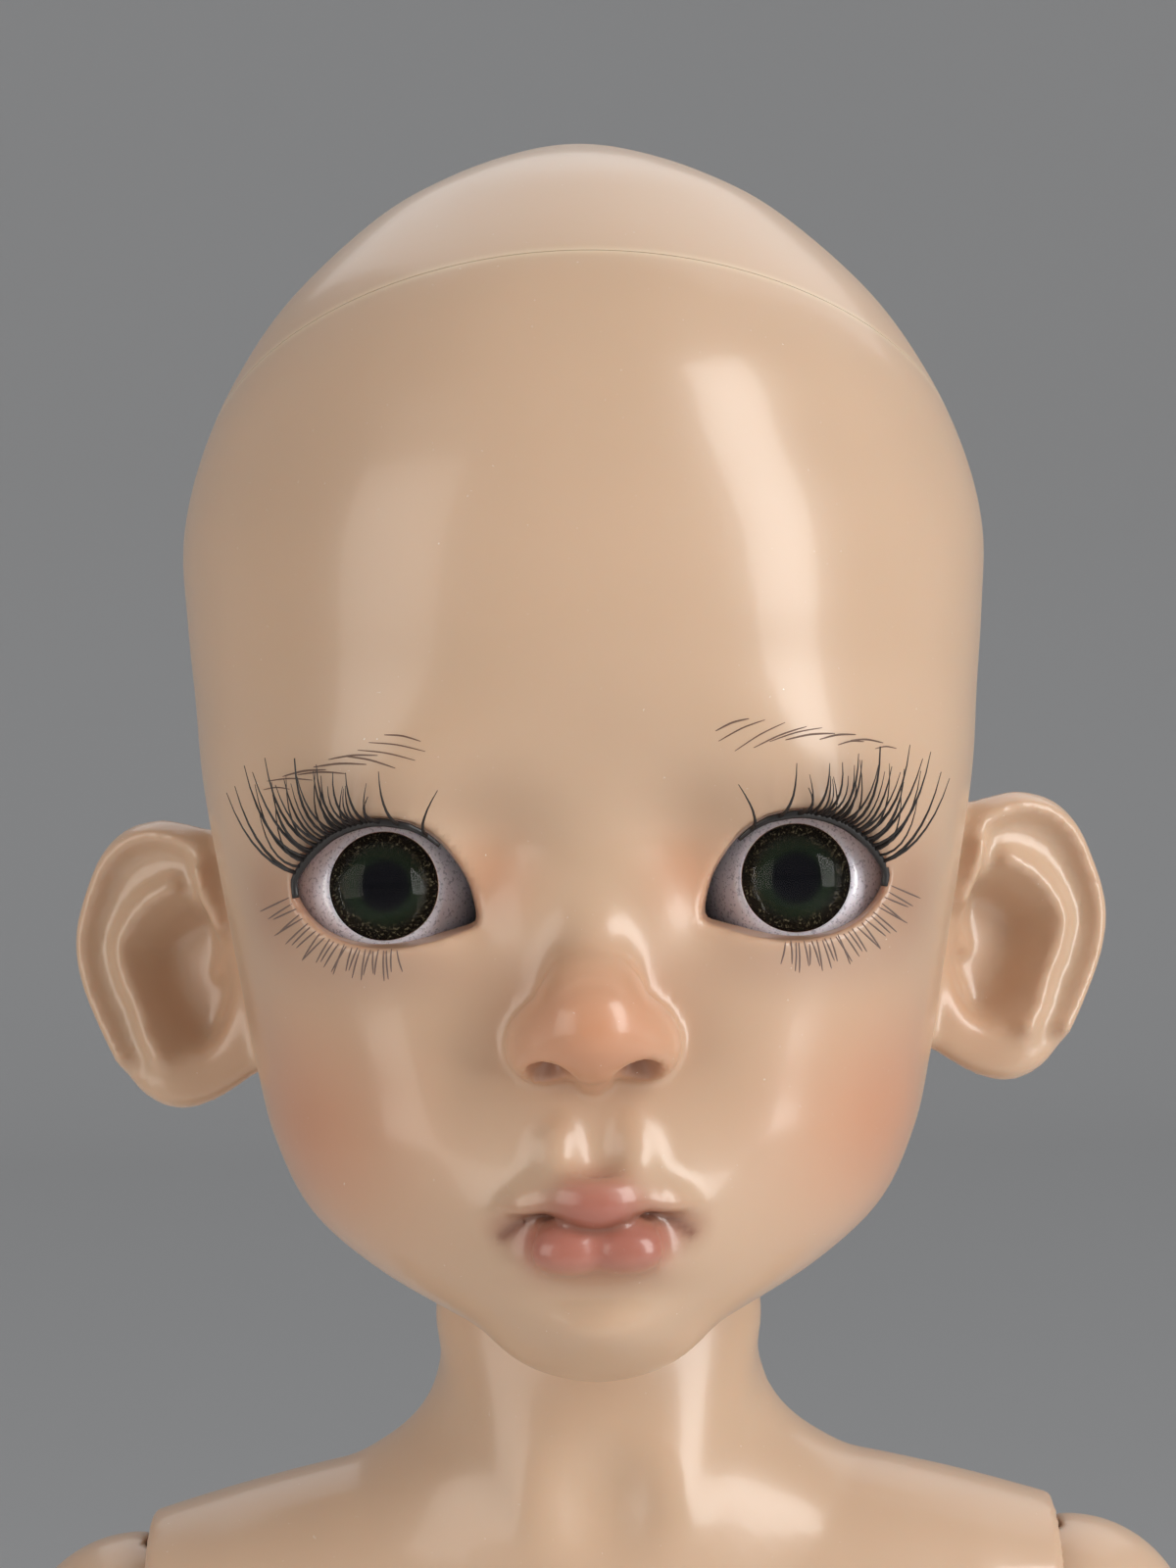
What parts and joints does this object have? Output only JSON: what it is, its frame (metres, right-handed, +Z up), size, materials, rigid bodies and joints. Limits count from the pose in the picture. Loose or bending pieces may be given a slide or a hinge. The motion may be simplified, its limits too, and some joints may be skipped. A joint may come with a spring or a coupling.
{
  "type": "ball jointed doll",
  "caption": "Strung ball jointed doll of cast resin, with glass eyes, magnetic head cap, and double jointed elbows and knees.",
  "frame": {"origin": "on the floor under the doll, at the middle of its box", "axes": "+Z up, the doll faces -Y, its own left side is +X"},
  "size_m": [0.1356, 0.0788, 0.44],
  "materials": {
    "cast_resin": "satin cast resin",
    "eye_white": "polished",
    "iris": "gloss under glass",
    "eye_glass": "clear",
    "eye_putty": "matt",
    "lash": "matt fibre",
    "elastic": "woven elastic cord",
    "wire_steel": "bright wire",
    "magnet": "plated"
  },
  "bodies": {
    "pelvis_body": {"pelvis": "cast_resin", "hip_elastic": "elastic"},
    "waist_turn": {"torso_elastic": "elastic"},
    "chest_body": {"chest": "cast_resin"},
    "neck_turn": {"neck_elastic": "elastic"},
    "neck_nod": {"neck_hook": "wire_steel"},
    "head_body": {"head_shell": "cast_resin", "head_magnet_front": "magnet", "head_magnet_back": "magnet", "eyeball_left": "eye_white", "eyeball_right": "eye_white", "iris_left": "iris", "iris_right": "iris", "cornea_left": "eye_glass", "cornea_right": "eye_glass", "eye_putty_left": "eye_putty", "eye_putty_right": "eye_putty", "lashes_left": "lash", "lashes_right": "lash"},
    "cap_body": {"head_cap": "cast_resin", "cap_magnet_front": "magnet", "cap_magnet_back": "magnet"},
    "shoulder_swing_left": {"shoulder_elastic_left": "elastic"},
    "shoulder_raise_left": {"upper_arm_elastic_left": "elastic"},
    "upper_arm_body_left": {"upper_arm_left": "cast_resin"},
    "elbow_body_left": {"elbow_joint_left": "cast_resin", "elbow_elastic_left": "elastic"},
    "forearm_body_left": {"forearm_left": "cast_resin", "forearm_elastic_left": "elastic"},
    "wrist_turn_left": {"wrist_hook_left": "wire_steel"},
    "hand_body_left": {"hand_left": "cast_resin"},
    "hip_turn_left": {"hip_cord_upper_left": "elastic"},
    "hip_swing_left": {"hip_cord_lower_left": "elastic"},
    "thigh_body_left": {"thigh_left": "cast_resin", "thigh_elastic_left": "elastic"},
    "knee_body_left": {"knee_joint_left": "cast_resin", "knee_elastic_left": "elastic"},
    "calf_body_left": {"calf_left": "cast_resin", "calf_elastic_left": "elastic"},
    "ankle_turn_left": {"ankle_hook_left": "wire_steel"},
    "foot_body_left": {"foot_left": "cast_resin"},
    "shoulder_swing_right": {"shoulder_elastic_right": "elastic"},
    "shoulder_raise_right": {"upper_arm_elastic_right": "elastic"},
    "upper_arm_body_right": {"upper_arm_right": "cast_resin"},
    "elbow_body_right": {"elbow_joint_right": "cast_resin", "elbow_elastic_right": "elastic"},
    "forearm_body_right": {"forearm_right": "cast_resin", "forearm_elastic_right": "elastic"},
    "wrist_turn_right": {"wrist_hook_right": "wire_steel"},
    "hand_body_right": {"hand_right": "cast_resin"},
    "hip_turn_right": {"hip_cord_upper_right": "elastic"},
    "hip_swing_right": {"hip_cord_lower_right": "elastic"},
    "thigh_body_right": {"thigh_right": "cast_resin", "thigh_elastic_right": "elastic"},
    "knee_body_right": {"knee_joint_right": "cast_resin", "knee_elastic_right": "elastic"},
    "calf_body_right": {"calf_right": "cast_resin", "calf_elastic_right": "elastic"},
    "ankle_turn_right": {"ankle_hook_right": "wire_steel"},
    "foot_body_right": {"foot_right": "cast_resin"}
  },
  "joints": [
    {"name": "waist_turn", "type": "hinge", "parent": "pelvis_body", "child": "waist_turn", "pos_m": [0, 0.006, 0.249], "axis": [0, 0, 1], "range_deg": [-25, 25]},
    {"name": "waist_bend", "type": "hinge", "parent": "waist_turn", "child": "chest_body", "pos_m": [0, 0.006, 0.249], "axis": [1, 0, 0], "range_deg": [-10, 15]},
    {"name": "neck_turn", "type": "hinge", "parent": "chest_body", "child": "neck_turn", "pos_m": [0, 0.006, 0.3494], "axis": [0, 0, 1], "range_deg": [-80, 80]},
    {"name": "neck_nod", "type": "hinge", "parent": "neck_turn", "child": "neck_nod", "pos_m": [0, 0.006, 0.3494], "axis": [1, 0, 0], "range_deg": [-18, 15]},
    {"name": "head_tilt", "type": "hinge", "parent": "neck_nod", "child": "head_body", "pos_m": [0, 0.006, 0.3494], "axis": [0, 1, 0], "range_deg": [-12, 12]},
    {"name": "cap_lift", "type": "slide", "parent": "head_body", "child": "cap_body", "axis": [0, 0.4226, 0.9063], "range_m": [0, 0.03]},
    {"name": "shoulder_swing_left", "type": "hinge", "parent": "chest_body", "child": "shoulder_swing_left", "pos_m": [0.0354, 0.006, 0.3255], "axis": [-1, 0, 0], "range_deg": [-50, 90]},
    {"name": "shoulder_raise_left", "type": "hinge", "parent": "shoulder_swing_left", "child": "shoulder_raise_left", "pos_m": [0.0354, 0.006, 0.3255], "axis": [0, -1, 0], "range_deg": [-12, 68]},
    {"name": "upper_arm_twist_left", "type": "hinge", "parent": "shoulder_raise_left", "child": "upper_arm_body_left", "pos_m": [0.0354, 0.006, 0.3255], "axis": [-0.2079, 0, 0.9781], "range_deg": [-30, 30]},
    {"name": "elbow_upper_left", "type": "hinge", "parent": "upper_arm_body_left", "child": "elbow_body_left", "pos_m": [0.04767, 0.006, 0.26779], "axis": [-0.9781, 0, -0.2079], "range_deg": [0, 55]},
    {"name": "elbow_lower_left", "type": "hinge", "parent": "elbow_body_left", "child": "forearm_body_left", "pos_m": [0.04954, 0.006, 0.25899], "axis": [-0.9781, 0, -0.2079], "range_deg": [0, 55]},
    {"name": "wrist_turn_left", "type": "hinge", "parent": "forearm_body_left", "child": "wrist_turn_left", "pos_m": [0.06045, 0.006, 0.20763], "axis": [-0.2079, 0, 0.9781], "range_deg": [-80, 80]},
    {"name": "wrist_flex_left", "type": "hinge", "parent": "wrist_turn_left", "child": "hand_body_left", "pos_m": [0.06045, 0.006, 0.20763], "axis": [0, -1, 0], "range_deg": [-40, 40]},
    {"name": "hip_turn_left", "type": "hinge", "parent": "pelvis_body", "child": "hip_turn_left", "pos_m": [0.0165, 0.006, 0.198], "axis": [0, 0, 1], "range_deg": [-12, 45]},
    {"name": "hip_swing_left", "type": "hinge", "parent": "hip_turn_left", "child": "hip_swing_left", "pos_m": [0.0165, 0.006, 0.198], "axis": [-1, 0, 0], "range_deg": [-15, 90]},
    {"name": "hip_raise_left", "type": "hinge", "parent": "hip_swing_left", "child": "thigh_body_left", "pos_m": [0.0165, 0.006, 0.198], "axis": [0, -1, 0], "range_deg": [0, 30]},
    {"name": "knee_upper_left", "type": "hinge", "parent": "thigh_body_left", "child": "knee_body_left", "pos_m": [0.0165, 0.006, 0.1185], "axis": [1, 0, 0], "range_deg": [0, 55]},
    {"name": "knee_lower_left", "type": "hinge", "parent": "knee_body_left", "child": "calf_body_left", "pos_m": [0.0165, 0.006, 0.1055], "axis": [1, 0, 0], "range_deg": [0, 55]},
    {"name": "ankle_turn_left", "type": "hinge", "parent": "calf_body_left", "child": "ankle_turn_left", "pos_m": [0.0165, 0.006, 0.026], "axis": [0, 0, -1], "range_deg": [-25, 10]},
    {"name": "ankle_flex_left", "type": "hinge", "parent": "ankle_turn_left", "child": "foot_body_left", "pos_m": [0.0165, 0.006, 0.026], "axis": [1, 0, 0], "range_deg": [-25, 30]},
    {"name": "shoulder_swing_right", "type": "hinge", "parent": "chest_body", "child": "shoulder_swing_right", "pos_m": [-0.0354, 0.006, 0.3255], "axis": [-1, 0, 0], "range_deg": [-50, 90]},
    {"name": "shoulder_raise_right", "type": "hinge", "parent": "shoulder_swing_right", "child": "shoulder_raise_right", "pos_m": [-0.0354, 0.006, 0.3255], "axis": [0, 1, 0], "range_deg": [-12, 68]},
    {"name": "upper_arm_twist_right", "type": "hinge", "parent": "shoulder_raise_right", "child": "upper_arm_body_right", "pos_m": [-0.0354, 0.006, 0.3255], "axis": [0.2079, 0, 0.9781], "range_deg": [-30, 30]},
    {"name": "elbow_upper_right", "type": "hinge", "parent": "upper_arm_body_right", "child": "elbow_body_right", "pos_m": [-0.04767, 0.006, 0.26779], "axis": [-0.9781, 0, 0.2079], "range_deg": [0, 55]},
    {"name": "elbow_lower_right", "type": "hinge", "parent": "elbow_body_right", "child": "forearm_body_right", "pos_m": [-0.04954, 0.006, 0.25899], "axis": [-0.9781, 0, 0.2079], "range_deg": [0, 55]},
    {"name": "wrist_turn_right", "type": "hinge", "parent": "forearm_body_right", "child": "wrist_turn_right", "pos_m": [-0.06045, 0.006, 0.20763], "axis": [0.2079, 0, 0.9781], "range_deg": [-80, 80]},
    {"name": "wrist_flex_right", "type": "hinge", "parent": "wrist_turn_right", "child": "hand_body_right", "pos_m": [-0.06045, 0.006, 0.20763], "axis": [0, 1, 0], "range_deg": [-40, 40]},
    {"name": "hip_turn_right", "type": "hinge", "parent": "pelvis_body", "child": "hip_turn_right", "pos_m": [-0.0165, 0.006, 0.198], "axis": [0, 0, -1], "range_deg": [-12, 45]},
    {"name": "hip_swing_right", "type": "hinge", "parent": "hip_turn_right", "child": "hip_swing_right", "pos_m": [-0.0165, 0.006, 0.198], "axis": [-1, 0, 0], "range_deg": [-15, 90]},
    {"name": "hip_raise_right", "type": "hinge", "parent": "hip_swing_right", "child": "thigh_body_right", "pos_m": [-0.0165, 0.006, 0.198], "axis": [0, 1, 0], "range_deg": [0, 30]},
    {"name": "knee_upper_right", "type": "hinge", "parent": "thigh_body_right", "child": "knee_body_right", "pos_m": [-0.0165, 0.006, 0.1185], "axis": [1, 0, 0], "range_deg": [0, 55]},
    {"name": "knee_lower_right", "type": "hinge", "parent": "knee_body_right", "child": "calf_body_right", "pos_m": [-0.0165, 0.006, 0.1055], "axis": [1, 0, 0], "range_deg": [0, 55]},
    {"name": "ankle_turn_right", "type": "hinge", "parent": "calf_body_right", "child": "ankle_turn_right", "pos_m": [-0.0165, 0.006, 0.026], "axis": [0, 0, 1], "range_deg": [-25, 10]},
    {"name": "ankle_flex_right", "type": "hinge", "parent": "ankle_turn_right", "child": "foot_body_right", "pos_m": [-0.0165, 0.006, 0.026], "axis": [1, 0, 0], "range_deg": [-25, 30]}
  ]
}
